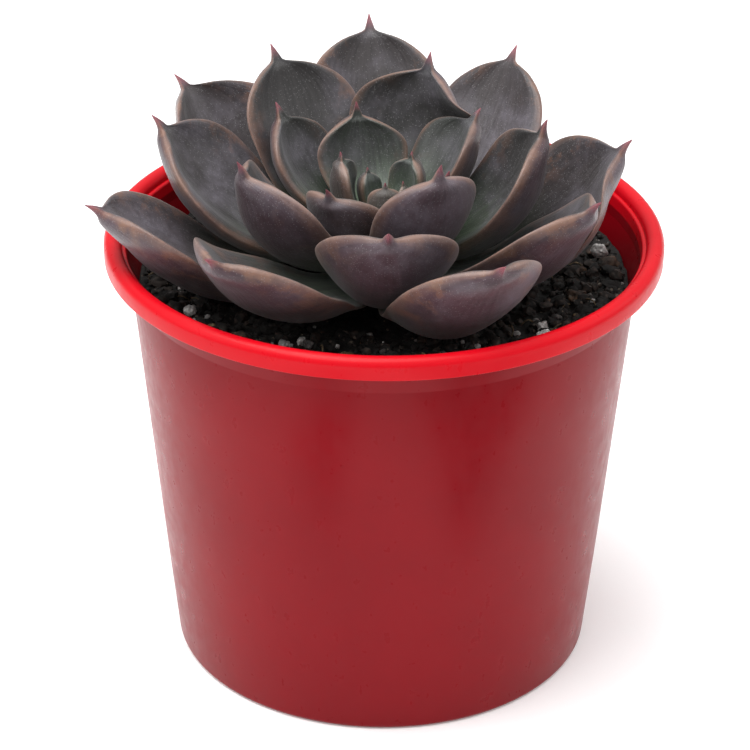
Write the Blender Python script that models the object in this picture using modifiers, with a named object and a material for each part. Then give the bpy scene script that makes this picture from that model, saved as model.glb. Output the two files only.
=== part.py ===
"""A rosette succulent growing in a round tapered plastic pot.

Frame: +Z up, origin at the centre of the pot's flat underside, front towards -Y.
The pot is a turned shell with a folded-over rim and drain holes. It holds the soil, a
stem with its roots, grains that lie on the soil, and one solid for each leaf. The leaves
follow one growth rule from the lowest to the innermost, each with its own small habits.
"""
import math
import random
from dataclasses import dataclass

import bmesh
import bpy
from mathutils import Vector
from mathutils.bvhtree import BVHTree

MM = 0.001
GAP = 0.3 * MM                     # clearance between pieces that touch

# Pot
POT_HEIGHT = 98.0 * MM
RIM_RADIUS = 60.0 * MM             # outside of the folded rim
RIM_DEPTH = 4.6 * MM               # height of the rim's skirt
WALL_TOP_RADIUS = 54.9 * MM        # outside of the wall just under the rim
BASE_RADIUS = 46.0 * MM
WALL = 1.3 * MM
FLOOR = 1.8 * MM
BASE_EDGE_RADIUS = 1.4 * MM
DRAIN_HOLES = 8
DRAIN_RADIUS = 4.0 * MM
DRAIN_CIRCLE = 31.0 * MM
POT_STEPS = 48

# Soil
SOIL_EDGE_HEIGHT = 87.0 * MM
SOIL_DISH = 3.0 * MM               # how far the soil dips towards the stem
SOIL_LUMPS = 0.7 * MM
SOIL_RINGS = 9
SOIL_STEPS = 40

# Stem and roots
STEM_TOP = 99.0 * MM
STEM_FOOT = 66.0 * MM
STEM_FOOT_RADIUS = 3.4 * MM
ROOT_COUNT = 6
ROOT_RADIUS = 1.3 * MM
ROOT_REACH = 30.0 * MM

# Rosette
GOLDEN_ANGLE = 137.508             # degrees from each leaf to the next one up
FIRST_DIRECTION = 194.0            # degrees, +X is 0 and +Y is 90
INNERMOST = 26                     # number of the last leaf
DROPPED = (9,)                     # a leaf that is no longer on the plant
TREND_SPAN = 22.0                  # leaves over which the growth rule is written
WIDEST_AT = 0.71                   # place of the greatest width along the blade
BASE_WIDTH = 0.16                  # width at the stem against the greatest width
END_BLUNTNESS = 0.48
SPIKE = 3.6 * MM                   # length of the pointed tip
SPIKE_HALF_WIDTH = 2.4 * MM
SPIKE_DROOP = 25.0                 # degrees by which the tip bends outwards
MARGIN = 0.9 * MM                  # half thickness of the blade near its margin
LEAF_STATIONS = 9
LEAF_COLUMNS = 7
PRESS_GAP = 0.7 * MM               # room kept where one leaf presses on another
PRESS_REACH = 5.0 * MM             # how far below a leaf the search for others starts

# Grains on the soil: direction in degrees, distance from the axis, size
PERLITE = ((9, 47.5, 2.6), (316, 46.0, 2.2), (299, 46.5, 1.9), (207, 45.5, 1.8), (262, 46.0, 1.9))
BARK = ((14, 40.0, 3.4), (228, 44.0, 2.6))


@dataclass(frozen=True)
class Habit:
    """How one leaf departs from the growth rule: degrees and millimetres."""

    turn: float = 0.0
    longer: float = 0.0
    wider: float = 0.0
    base_lift: float = 0.0
    tip_lift: float = 0.0
    roll: float = 0.0
    cup: float = 0.38


HABITS = {
    0: Habit(turn=4, longer=1, wider=0.6, tip_lift=-6, roll=-6, cup=0.27),
    1: Habit(turn=3, wider=-1.7, tip_lift=7, roll=-9, cup=0.14),
    2: Habit(turn=14, longer=1, wider=-1, base_lift=-3, cup=0.28),
    3: Habit(turn=2, longer=-1, wider=0.6, base_lift=3, tip_lift=-4, cup=0.48),
    4: Habit(turn=-6, longer=-3, wider=0.7, base_lift=-3, tip_lift=6, roll=7, cup=0.4),
    5: Habit(turn=7, longer=1, base_lift=-5, tip_lift=-8, roll=-8),
    6: Habit(turn=5, longer=2, wider=-1, base_lift=5, roll=3),
    7: Habit(turn=15, base_lift=-8, tip_lift=-4),
    8: Habit(turn=-1, longer=1, base_lift=-7, roll=-8, cup=0.33),
    10: Habit(turn=12, longer=2, base_lift=-9, tip_lift=-6, cup=0.4),
    11: Habit(turn=7, longer=1, wider=0.5, base_lift=5, cup=0.34),
    12: Habit(turn=10, longer=-1, base_lift=-5, tip_lift=13, roll=9, cup=0.42),
    13: Habit(turn=6, wider=1.3, base_lift=-10, tip_lift=5, roll=-4, cup=0.5),
    14: Habit(wider=2.6, base_lift=6, tip_lift=13, roll=-18, cup=0.46),
    15: Habit(turn=3, base_lift=-1, tip_lift=9, roll=6, cup=0.3),
    16: Habit(turn=-9, longer=-1, wider=-1.6, base_lift=-5, tip_lift=-3, roll=4, cup=0.32),
    17: Habit(turn=14, longer=-3, base_lift=18, tip_lift=-16, roll=-11, cup=0.45),
    18: Habit(turn=2, longer=-1, wider=-0.9, base_lift=-4, tip_lift=-10, cup=0.45),
    19: Habit(turn=8, longer=1, wider=0.4, base_lift=-3, tip_lift=9, roll=-6, cup=0.45),
    20: Habit(turn=-6, longer=1, wider=-0.7, base_lift=-3, roll=-7, cup=0.3),
    21: Habit(turn=-14, longer=-3, wider=-2.5, base_lift=20, tip_lift=6),
    22: Habit(turn=-8, longer=-2, wider=-2.2, base_lift=24, tip_lift=4),
    23: Habit(longer=-1, wider=-2.4, base_lift=26),
    24: Habit(longer=1, wider=-2.4, base_lift=28),
    25: Habit(longer=3, wider=-2.4, base_lift=32),
    26: Habit(longer=5, wider=-2.4, base_lift=36, tip_lift=-8),
}


@dataclass
class Leaf:
    """The sizes of one leaf, from the growth rule and its habit."""

    number: int
    direction: float
    base_radius: float
    base_height: float
    base_lift: float
    tip_lift: float
    length: float
    half_width: float
    cup: float
    roll: float
    keel: float

    @classmethod
    def grown(cls, number):
        """Return the leaf of that number, counted from the lowest leaf up."""
        k = number / TREND_SPAN
        habit = HABITS[number]
        return cls(
            number=number,
            direction=math.radians(FIRST_DIRECTION - GOLDEN_ANGLE * number + habit.turn),
            base_radius=(5.6 - 3.6 * k) * MM,
            base_height=(89.4 + 8.7 * k) * MM,
            base_lift=math.radians(-8.0 + 24.0 * k + habit.base_lift),
            tip_lift=math.radians(59.0 + 39.0 * k + habit.tip_lift),
            length=(65.5 - 10.0 * k - 36.0 * k * k + habit.longer) * MM,
            half_width=(16.0 + 0.5 * k - 9.7 * k * k + habit.wider) * MM,
            cup=habit.cup,
            roll=math.radians(habit.roll),
            keel=(4.3 - 2.5 * k) * MM,
        )

    def spike_start(self):
        """Place along the leaf, 0 to 1, where the blade ends and the spike begins."""
        return 1.0 - SPIKE / self.length * min(1.0, self.length / (40.0 * MM))

    def width_at(self, u):
        """Half width at u, 0 at the stem and 1 at the tip."""
        blade_end = self.spike_start()
        v = min(u / blade_end, 1.0)
        if v < WIDEST_AT:
            share = BASE_WIDTH + (1.0 - BASE_WIDTH) * math.sin(math.pi / 2 * v / WIDEST_AT) ** 0.95
        else:
            s = (v - WIDEST_AT) / (1.0 - WIDEST_AT)
            share = max(1.0 - s * s, 0.0) ** END_BLUNTNESS
        size = min(1.0, self.length / (40.0 * MM))
        q = min((1.0 - u) / (1.1 - blade_end), 1.0)
        spike = SPIKE_HALF_WIDTH * size * q ** 1.6 + 0.08 * MM
        return math.hypot(self.half_width * share, spike)

    def keel_at(self, u):
        """Depth of the keel below the blade at u."""
        swell = 0.4 + 0.6 * math.sin(math.pi * min(u / 0.8, 1.0)) ** 0.7
        taper = min((1.0 - u) / 0.3, 1.0) ** 0.7
        neck = min(0.25 + u / 0.16, 1.0)
        return self.keel * swell * taper * neck

    def stations(self, count):
        """Places along the leaf: count on the blade, then three on the spike."""
        blade_end = self.spike_start()
        blade = [blade_end * (i / (count - 1)) ** 0.85 for i in range(count)]
        return blade + [1.0 - (1.0 - blade_end) * share for share in (0.6, 0.25, 0.0)]

    def columns(self, count, across):
        """Return the leaf as columns: for each one its foot, up vector, top and bottom."""
        steps = 80
        point = Vector((self.base_radius * math.cos(self.direction),
                        self.base_radius * math.sin(self.direction), self.base_height))
        outward = Vector((math.cos(self.direction), math.sin(self.direction), 0.0))
        sideways = Vector((-math.sin(self.direction), math.cos(self.direction), 0.0))
        wanted = self.stations(count)
        rows = []
        step = 1.0 / steps
        u = 0.0
        for target in wanted:
            while u < target - 1e-9:
                advance = min(step, target - u)
                lift = self.lift_at(u + advance / 2)
                heading = outward * math.cos(lift) + Vector((0, 0, math.sin(lift)))
                point = point + heading * (self.length * advance)
                u += advance
            lift = self.lift_at(u)
            normal = outward * -math.sin(lift) + Vector((0, 0, math.cos(lift)))
            side = sideways * math.cos(self.roll) + normal * math.sin(self.roll)
            up = normal * math.cos(self.roll) - sideways * math.sin(self.roll)
            rows.append([self.column(point, side, up, u, j, across) for j in range(across)])
        return rows

    def lift_at(self, u):
        """Angle of the midrib above the horizontal at u."""
        droop = math.radians(SPIKE_DROOP) * min(max((u - 0.93) / 0.05, 0.0), 1.0)
        return self.base_lift + (self.tip_lift - self.base_lift) * u - droop

    def column(self, point, side, up, u, j, across):
        """One column of the blade: [foot, up, top, bottom], heights along up."""
        t = math.sin(math.pi * (j / (across - 1) - 0.5))
        width = self.width_at(u)
        curl = (self.cup + 0.1 * (u - 0.5)) * width * t * t
        edge = max(1.0 - t ** 4, 0.0) ** 0.5
        neck = min(0.6 + u / 0.2, 1.0)
        margin = min(MARGIN * neck, 0.5 * width)
        keel = self.keel_at(u) * (1.0 - abs(t) ** 1.8)
        return [point + side * (width * t), up, curl + margin * edge, curl - (margin + keel) * edge]


def halfway(first, second):
    """The column midway between two columns."""
    foot = first[0].lerp(second[0], 0.5)
    up = first[1].lerp(second[1], 0.5).normalized()
    return [foot, up, 0.5 * (first[2] + second[2]), 0.5 * (first[3] + second[3])]


def with_halfways(items, between):
    """Return the items with one more between each two neighbours."""
    full = [items[0]]
    for here in items[1:]:
        full += [between(full[-1], here), here]
    return full


def sinking(column, upper_trees):
    """How far a column has to sink to clear the leaves above it."""
    foot, up, top, bottom = column
    low = bottom - PRESS_REACH
    sink = 0.0
    for tree in upper_trees:
        start = foot + up * low
        hit = tree.ray_cast(start, up, top - low + PRESS_GAP)
        if hit[0] is None:
            continue
        underside = low + hit[3]
        if hit[1].dot(up) > 0.0:
            below = tree.ray_cast(start, -up)
            if below[0] is None:
                continue
            underside = low - below[3]
        sink = max(sink, top - underside + PRESS_GAP)
    return sink


def press_down(rows, upper_trees):
    """Press a leaf's columns down where the leaves above it lie on it."""
    dense = [with_halfways(row, halfway) for row in rows]
    dense = with_halfways(dense, lambda low, high: [halfway(a, b) for a, b in zip(low, high)])
    need = [[sinking(column, upper_trees) for column in row] for row in dense]
    for i, row in enumerate(rows):
        for j, column in enumerate(row):
            push = max(max(line[max(2 * j - 2, 0):2 * j + 3])
                       for line in need[max(2 * i - 2, 0):2 * i + 3])
            thickness = 0.5 * (column[2] - column[3])
            column[2] -= push
            column[3] = min(column[3], column[2] - thickness)


def leaf_mesh(rows):
    """Return the vertices and faces of the closed leaf."""
    rings = []
    for row in rows:
        top = [foot + up * high for foot, up, high, _ in row]
        bottom = [foot + up * low for foot, up, _, low in row]
        rings.append(top + bottom[-2:0:-1])
    size = len(rings[0])
    points = [p for ring in rings for p in ring]
    faces = []
    for i in range(len(rings) - 1):
        for j in range(size):
            a = i * size + j
            b = i * size + (j + 1) % size
            faces.append((a, a + size, b + size, b))
    faces.append(tuple(range(size)))
    last = (len(rings) - 1) * size
    faces.append(tuple(last + j for j in reversed(range(size))))
    return points, faces


def new_object(name, mesh, collection):
    """Add a mesh to the scene under that name."""
    obj = bpy.data.objects.new(name, mesh)
    collection.objects.link(obj)
    return obj


def mesh_from(name, points, faces):
    """Make a clean mesh whose faces point outwards."""
    mesh = bpy.data.meshes.new(name)
    mesh.from_pydata([tuple(p) for p in points], [], faces)
    work = bmesh.new()
    work.from_mesh(mesh)
    bmesh.ops.triangulate(work, faces=work.faces[:])
    bmesh.ops.recalc_face_normals(work, faces=work.faces[:])
    if work.calc_volume(signed=True) < 0.0:
        bmesh.ops.reverse_faces(work, faces=work.faces[:])
    work.to_mesh(mesh)
    work.free()
    mesh.shade_smooth()
    return mesh


def paint(obj, name, colour, roughness):
    """Give the object its own plain finish."""
    material = bpy.data.materials.new(name)
    material.use_nodes = True
    shader = material.node_tree.nodes["Principled BSDF"]
    shader.inputs["Base Color"].default_value = (*colour, 1.0)
    shader.inputs["Roughness"].default_value = roughness
    shader.inputs["Metallic"].default_value = 0.0
    obj.data.materials.append(material)


def wall_radius(z):
    """Outside radius of the pot's wall at height z."""
    share = z / (POT_HEIGHT - RIM_DEPTH)
    return BASE_RADIUS + (WALL_TOP_RADIUS - BASE_RADIUS) * share


def pot_profile():
    """Half section of the pot, from the floor's centre over the rim to the base."""
    inner_top = wall_radius(POT_HEIGHT) - WALL
    outer_top = wall_radius(POT_HEIGHT - RIM_DEPTH)
    points = [(0.0, FLOOR), (wall_radius(FLOOR) - WALL, FLOOR)]
    points.append((inner_top - 0.3 * MM, POT_HEIGHT - 1.2 * MM))
    points.append((inner_top + 0.8 * MM, POT_HEIGHT))
    points.append((RIM_RADIUS - 1.2 * MM, POT_HEIGHT))
    points.append((RIM_RADIUS - 0.3 * MM, POT_HEIGHT - 0.5 * MM))
    points.append((RIM_RADIUS, POT_HEIGHT - 1.4 * MM))
    points.append((RIM_RADIUS - 0.3 * MM, POT_HEIGHT - RIM_DEPTH))
    points.append((RIM_RADIUS - WALL, POT_HEIGHT - RIM_DEPTH))
    points.append((RIM_RADIUS - WALL, POT_HEIGHT - WALL - 0.6 * MM))
    points.append((outer_top + 0.9 * MM, POT_HEIGHT - WALL - 0.6 * MM))
    points.append((outer_top, POT_HEIGHT - RIM_DEPTH))
    for step in range(4):
        angle = math.pi / 2 * step / 3
        points.append((wall_radius(0.0) - BASE_EDGE_RADIUS * (1.0 - math.cos(angle)),
                       BASE_EDGE_RADIUS * (1.0 - math.sin(angle))))
    points.append((0.0, 0.0))
    return points


def make_pot(parts, cutters):
    """The tapered plastic pot: a turned shell with drain holes in its floor."""
    profile = bpy.data.meshes.new("pot_profile")
    points = pot_profile()
    edges = [(i, i + 1) for i in range(len(points) - 1)]
    profile.from_pydata([(r, 0.0, z) for r, z in points], edges, [])
    pot = new_object("pot", profile, parts)
    screw = pot.modifiers.new("turn", "SCREW")
    screw.steps = POT_STEPS
    screw.render_steps = POT_STEPS
    screw.use_merge_vertices = True
    screw.merge_threshold = 0.00005
    screw.use_smooth_shade = True
    for k in range(DRAIN_HOLES):
        angle = math.tau * (k + 0.5) / DRAIN_HOLES
        bpy.ops.mesh.primitive_cylinder_add(
            vertices=16, radius=DRAIN_RADIUS, depth=4 * FLOOR,
            location=(DRAIN_CIRCLE * math.cos(angle), DRAIN_CIRCLE * math.sin(angle), FLOOR / 2))
        cutter = bpy.context.object
        cutter.name = f"drain_cutter_{k + 1}"
        move_to(cutter, cutters)
        hide_cutter(cutter)
        cut = pot.modifiers.new(f"drain_{k + 1}", "BOOLEAN")
        cut.operation = "DIFFERENCE"
        cut.solver = "EXACT"
        cut.object = cutter
    paint(pot, "red_plastic", (0.55, 0.012, 0.02), 0.32)
    return pot


def move_to(obj, collection):
    """Move an object that an operator made into the collection."""
    for owner in list(obj.users_collection):
        owner.objects.unlink(obj)
    collection.objects.link(obj)


def hide_cutter(obj):
    """Keep a cutter out of the build."""
    obj.hide_render = True
    obj.display_type = "WIRE"


def stem_radius(z):
    """Radius of the stem under the leaf bases at height z."""
    share = (z - 89.4 * MM) / (8.7 * MM)
    return max(min((5.6 - 3.6 * share) * MM, 5.6 * MM) - 1.6 * MM, 0.8 * MM)


def tube(name, path, radii, sides, collection):
    """A closed tube along a path, its radius given at each point."""
    points = []
    for i, here in enumerate(path):
        ahead = path[min(i + 1, len(path) - 1)] - path[max(i - 1, 0)]
        ahead.normalize()
        across = ahead.cross(Vector((0.13, 0.21, 0.97)))
        if across.length < 0.1:
            across = ahead.cross(Vector((0.97, 0.13, 0.21)))
        across.normalize()
        other = ahead.cross(across)
        for k in range(sides):
            angle = math.tau * k / sides
            points.append(here + (across * math.cos(angle) + other * math.sin(angle)) * radii[i])
    faces = [tuple(range(sides))]
    for i in range(len(path) - 1):
        for k in range(sides):
            a = i * sides + k
            b = i * sides + (k + 1) % sides
            faces.append((a, b, b + sides, a + sides))
    last = (len(path) - 1) * sides
    faces.append(tuple(last + k for k in range(sides)))
    return new_object(name, mesh_from(name, points, faces), collection)


def stem_and_roots(name, swell, collection):
    """The stem and its roots as one body, every radius larger by swell."""
    heights = [STEM_FOOT + (SOIL_EDGE_HEIGHT - STEM_FOOT) * s for s in (0.0, 0.5, 1.0)]
    heights += [90.0 * MM, 92.5 * MM, 95.0 * MM, 97.0 * MM, STEM_TOP]
    radii = [STEM_FOOT_RADIUS, 4.0 * MM, 4.4 * MM]
    radii += [stem_radius(z) for z in heights[3:-1]] + [0.5 * MM]
    body = tube(name, [Vector((0, 0, z)) for z in heights], [r + swell for r in radii], 12, collection)
    for k in range(ROOT_COUNT):
        angle = math.tau * k / ROOT_COUNT + 0.35
        depth = (16.0 + 6.0 * (k % 3)) * MM
        path = []
        thickness = []
        for step in range(6):
            s = step / 5
            turned = angle + 0.5 * s * (1 if k % 2 else -1)
            reach = ROOT_REACH * s ** 0.8
            path.append(Vector((reach * math.cos(turned), reach * math.sin(turned),
                                STEM_FOOT + 5 * MM - depth * s * s - 6.0 * MM * s)))
            thickness.append(ROOT_RADIUS * (1.0 - 0.65 * s) + swell)
        root = tube(f"{name}_root_{k + 1}", path, thickness, 6, collection)
        union(body, root)
    return body


def union(body, other):
    """Weld another closed mesh into body and remove it."""
    weld = body.modifiers.new("join", "BOOLEAN")
    weld.operation = "UNION"
    weld.solver = "EXACT"
    weld.object = other
    bpy.context.view_layer.update()
    shape = body.evaluated_get(bpy.context.evaluated_depsgraph_get())
    joined = bpy.data.meshes.new_from_object(shape)
    body.modifiers.clear()
    body.data = joined
    bpy.data.objects.remove(other)


def soil_height(x, y):
    """Height of the loose soil surface before the leaves rest on it."""
    share = min(math.hypot(x, y) / (WALL_TOP_RADIUS - WALL), 1.0)
    rise = SOIL_EDGE_HEIGHT - SOIL_DISH * (1.0 - share ** 2)
    lumps = math.sin(410 * x + 1.3) * math.cos(370 * y - 0.4) + 0.6 * math.sin(760 * x - 520 * y)
    return rise + SOIL_LUMPS * lumps * 0.6


def make_soil(parts, root_cutter, leaf_trees):
    """The soil: it fills the pot up to a lumpy surface pressed down under the leaves."""
    inset = WALL + GAP
    points = []
    for ring in range(SOIL_RINGS):
        share = (ring + 1) / SOIL_RINGS
        for k in range(SOIL_STEPS):
            angle = math.tau * k / SOIL_STEPS
            radius = (wall_radius(SOIL_EDGE_HEIGHT) - inset - 0.2 * MM) * share
            x = radius * math.cos(angle)
            y = radius * math.sin(angle)
            points.append(Vector((x, y, resting_height(x, y, leaf_trees))))
    faces = []
    for ring in range(SOIL_RINGS - 1):
        for k in range(SOIL_STEPS):
            a = ring * SOIL_STEPS + k
            b = ring * SOIL_STEPS + (k + 1) % SOIL_STEPS
            faces.append((a, a + SOIL_STEPS, b + SOIL_STEPS, b))
    faces.append(tuple(range(SOIL_STEPS)))
    foot = len(points)
    floor = FLOOR + GAP
    for k in range(SOIL_STEPS):
        angle = math.tau * k / SOIL_STEPS
        radius = wall_radius(floor) - inset - 0.2 * MM
        points.append(Vector((radius * math.cos(angle), radius * math.sin(angle), floor)))
    top = (SOIL_RINGS - 1) * SOIL_STEPS
    for k in range(SOIL_STEPS):
        n = (k + 1) % SOIL_STEPS
        faces.append((top + k, foot + k, foot + n, top + n))
    faces.append(tuple(foot + k for k in reversed(range(SOIL_STEPS))))
    soil = new_object("soil", mesh_from("soil", points, faces), parts)
    cut = soil.modifiers.new("root_room", "BOOLEAN")
    cut.operation = "DIFFERENCE"
    cut.solver = "EXACT"
    cut.object = root_cutter
    paint(soil, "potting_soil", (0.035, 0.026, 0.02), 0.95)
    return soil


def resting_height(x, y, leaf_trees):
    """Soil height at x, y, lower where a leaf lies on it."""
    height = soil_height(x, y)
    low = Vector((x, y, 60.0 * MM))
    for tree in leaf_trees:
        for dx, dy in ((0, 0), (2.5, 0), (-2.5, 0), (0, 2.5), (0, -2.5)):
            hit = tree.ray_cast(low + Vector((dx * MM, dy * MM, 0)), Vector((0, 0, 1)))
            if hit[0] is not None:
                height = min(height, hit[0].z - 4 * GAP)
    return height


def make_grain(name, direction, distance, size, squash, seed, parts, leaf_trees):
    """A loose grain that lies on the soil surface."""
    rng = random.Random(seed)
    angle = math.radians(direction)
    x = distance * MM * math.cos(angle)
    y = distance * MM * math.sin(angle)
    ground = max(resting_height(x + dx * size * MM, y + dy * size * MM, leaf_trees)
                 for dx in (-1, 0, 1) for dy in (-1, 0, 1))
    work = bmesh.new()
    bmesh.ops.create_icosphere(work, subdivisions=1, radius=size * MM)
    for vertex in work.verts:
        vertex.co *= rng.uniform(0.8, 1.15)
        vertex.co.z *= squash
    lowest = min(vertex.co.z for vertex in work.verts)
    bmesh.ops.translate(work, verts=work.verts[:], vec=(x, y, ground + 2 * GAP - lowest))
    mesh = bpy.data.meshes.new(name)
    work.to_mesh(mesh)
    work.free()
    return new_object(name, mesh, parts)


def main():
    """Build every piece of the potted rosette."""
    for old in list(bpy.data.objects):
        bpy.data.objects.remove(old)
    parts = bpy.data.collections.new("potted_rosette")
    cutters = bpy.data.collections.new("cutters")
    bpy.context.scene.collection.children.link(parts)
    bpy.context.scene.collection.children.link(cutters)

    trees = []
    growing = [number for number in range(INNERMOST + 1) if number not in DROPPED]
    for number in reversed(growing):
        leaf = Leaf.grown(number)
        rows = leaf.columns(LEAF_STATIONS, LEAF_COLUMNS)
        press_down(rows, trees)
        points, faces = leaf_mesh(rows)
        name = f"leaf_{growing.index(number) + 1:02d}"
        mesh = mesh_from(name, points, faces)
        obj = new_object(name, mesh, parts)
        green = number / INNERMOST
        paint(obj, name + "_skin", (0.07 - 0.02 * green, 0.06 + 0.03 * green, 0.065), 0.6)
        trees.append(BVHTree.FromPolygons([v.co for v in mesh.vertices],
                                          [p.vertices for p in mesh.polygons]))

    make_pot(parts, cutters)
    stem = stem_and_roots("stem_with_roots", 0.0, parts)
    paint(stem, "stem_skin", (0.16, 0.13, 0.07), 0.7)
    root_cutter = stem_and_roots("root_cutter", 1.5 * GAP, cutters)
    hide_cutter(root_cutter)
    make_soil(parts, root_cutter, trees)
    for k, (direction, distance, size) in enumerate(PERLITE):
        grain = make_grain(f"perlite_{k + 1}", direction, distance, size, 0.85, 11 + k, parts, trees)
        paint(grain, f"perlite_{k + 1}_white", (0.75, 0.73, 0.7), 0.9)
    for k, (direction, distance, size) in enumerate(BARK):
        grain = make_grain(f"bark_chip_{k + 1}", direction, distance, size, 0.5, 31 + k, parts, trees)
        paint(grain, f"bark_chip_{k + 1}_brown", (0.06, 0.03, 0.015), 0.9)


if __name__ == "__main__":
    main()
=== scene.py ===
"""Looks of a potted echeveria: a red plastic pot, loose potting mix and a fleshy rosette.

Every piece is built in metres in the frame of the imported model: +Z up, the origin at the
centre of the pot's underside, the front towards -Y. The rosette follows the same growth
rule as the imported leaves, only with a finer and softer skin.
"""

import logging
import math
import random
from dataclasses import dataclass
from enum import Enum

import bmesh
import bpy
import numpy as np
from mathutils import Matrix, Vector, noise
from mathutils.bvhtree import BVHTree


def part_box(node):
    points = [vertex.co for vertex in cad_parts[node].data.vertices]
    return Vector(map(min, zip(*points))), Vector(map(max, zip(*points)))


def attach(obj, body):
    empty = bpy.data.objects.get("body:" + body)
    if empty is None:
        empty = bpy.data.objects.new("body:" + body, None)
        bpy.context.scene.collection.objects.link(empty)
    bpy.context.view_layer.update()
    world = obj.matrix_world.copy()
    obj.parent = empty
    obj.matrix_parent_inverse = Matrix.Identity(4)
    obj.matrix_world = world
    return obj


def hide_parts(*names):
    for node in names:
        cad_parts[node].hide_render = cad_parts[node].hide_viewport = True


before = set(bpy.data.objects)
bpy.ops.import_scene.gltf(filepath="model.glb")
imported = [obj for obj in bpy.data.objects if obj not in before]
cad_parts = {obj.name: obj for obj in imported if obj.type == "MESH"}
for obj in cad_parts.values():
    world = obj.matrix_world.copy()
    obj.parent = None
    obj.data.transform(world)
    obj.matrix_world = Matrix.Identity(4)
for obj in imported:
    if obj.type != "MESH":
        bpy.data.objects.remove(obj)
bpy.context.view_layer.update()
LOG = logging.getLogger("potted_echeveria")

MM = 0.001
Colour = tuple[float, float, float]
Point = tuple[float, float, float]


class Slot(Enum):
    """The record's material slots."""

    RED_PLASTIC = "red_plastic"
    POTTING_SOIL = "potting_soil"
    STEM_SKIN = "stem_skin"
    LEAF_SKIN = "leaf_skin"
    PERLITE = "perlite"
    BARK = "bark"


# ---------------------------------------------------------------- node graphs


class Graph:
    """Short ways to add and join the nodes of one node tree."""

    def __init__(self, tree: bpy.types.NodeTree) -> None:
        """Work on that tree."""
        self.tree = tree

    def add(self, kind: str, **settings: object) -> bpy.types.Node:
        """Add a node.

        Args:
            kind: The node's type name.
            settings: Properties to set on it.

        Returns:
            The new node.
        """
        node = self.tree.nodes.new(kind)
        for name, value in settings.items():
            setattr(node, name, value)
        return node

    def feed(self, socket: bpy.types.NodeSocket, value: object) -> None:
        """Link another socket into this one, or set a plain value on it."""
        if isinstance(value, bpy.types.NodeSocket):
            self.tree.links.new(value, socket)
        elif isinstance(value, tuple) and socket.type == "RGBA":
            socket.default_value = (*value, 1.0)
        else:
            socket.default_value = value

    def calc(self, operation: str, a: object, b: object = 0.0, clamp: bool = False) -> bpy.types.NodeSocket:
        """A Math node of two values."""
        node = self.add("ShaderNodeMath", operation=operation, use_clamp=clamp)
        self.feed(node.inputs[0], a)
        self.feed(node.inputs[1], b)
        return node.outputs[0]

    def ramp(self, value: object, low: float, high: float, to_low: float = 0.0,
             to_high: float = 1.0) -> bpy.types.NodeSocket:
        """Map value smoothly from low..high onto to_low..to_high."""
        node = self.add("ShaderNodeMapRange", interpolation_type="SMOOTHSTEP")
        for socket, item in zip(node.inputs, (value, low, high, to_low, to_high)):
            self.feed(socket, item)
        return node.outputs[0]

    def mix(self, share: object, first: object, second: object, blend: str = "MIX") -> bpy.types.NodeSocket:
        """Mix two colours."""
        node = self.add("ShaderNodeMix", data_type="RGBA", blend_type=blend)
        self.feed(node.inputs[0], share)
        self.feed(node.inputs[6], first)
        self.feed(node.inputs[7], second)
        return node.outputs[2]

    def noise(self, vector: object, scale: float, detail: float = 3.0, roughness: float = 0.5) -> bpy.types.NodeSocket:
        """Noise between 0 and 1."""
        node = self.add("ShaderNodeTexNoise")
        self.feed(node.inputs["Vector"], vector)
        self.feed(node.inputs["Scale"], scale)
        self.feed(node.inputs["Detail"], detail)
        self.feed(node.inputs["Roughness"], roughness)
        return node.outputs[0]

    def cells(self, vector: object, scale: object, randomness: float = 1.0) -> bpy.types.Node:
        """Voronoi cells: outputs 0 distance and 1 colour."""
        node = self.add("ShaderNodeTexVoronoi")
        self.feed(node.inputs["Vector"], vector)
        self.feed(node.inputs["Scale"], scale)
        self.feed(node.inputs["Randomness"], randomness)
        return node

    def place(self) -> bpy.types.NodeSocket:
        """Position on the piece, in metres."""
        return self.add("ShaderNodeTexCoord").outputs["Object"]

    def attribute(self, name: str) -> bpy.types.NodeSocket:
        """A number kept on the mesh's points."""
        return self.add("ShaderNodeAttribute", attribute_name=name).outputs["Fac"]

    def stretched(self, vector: object, scale: Point) -> bpy.types.NodeSocket:
        """The vector with each of its axes scaled."""
        node = self.add("ShaderNodeMapping", vector_type="POINT")
        self.feed(node.inputs["Vector"], vector)
        node.inputs["Scale"].default_value = scale
        return node.outputs[0]

    def vector(self, x: object, y: object, z: object) -> bpy.types.NodeSocket:
        """A vector of three values."""
        node = self.add("ShaderNodeCombineXYZ")
        for socket, item in zip(node.inputs, (x, y, z)):
            self.feed(socket, item)
        return node.outputs[0]

    def bump(self, height: object, distance: float, strength: float = 1.0,
             normal: object = None) -> bpy.types.NodeSocket:
        """A bumped normal; distance is the height's full swing in metres."""
        node = self.add("ShaderNodeBump")
        node.inputs["Strength"].default_value = strength
        node.inputs["Distance"].default_value = distance
        self.feed(node.inputs["Height"], height)
        if normal is not None:
            self.feed(node.inputs["Normal"], normal)
        return node.outputs[0]

    def group(self, effect: bpy.types.NodeTree, **values: object) -> bpy.types.Node:
        """Place a shared effect with its own values; an underscore stands for a space."""
        node = self.add("ShaderNodeGroup", node_tree=effect)
        for name, value in values.items():
            self.feed(node.inputs[name.replace("_", " ")], value)
        return node


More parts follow.
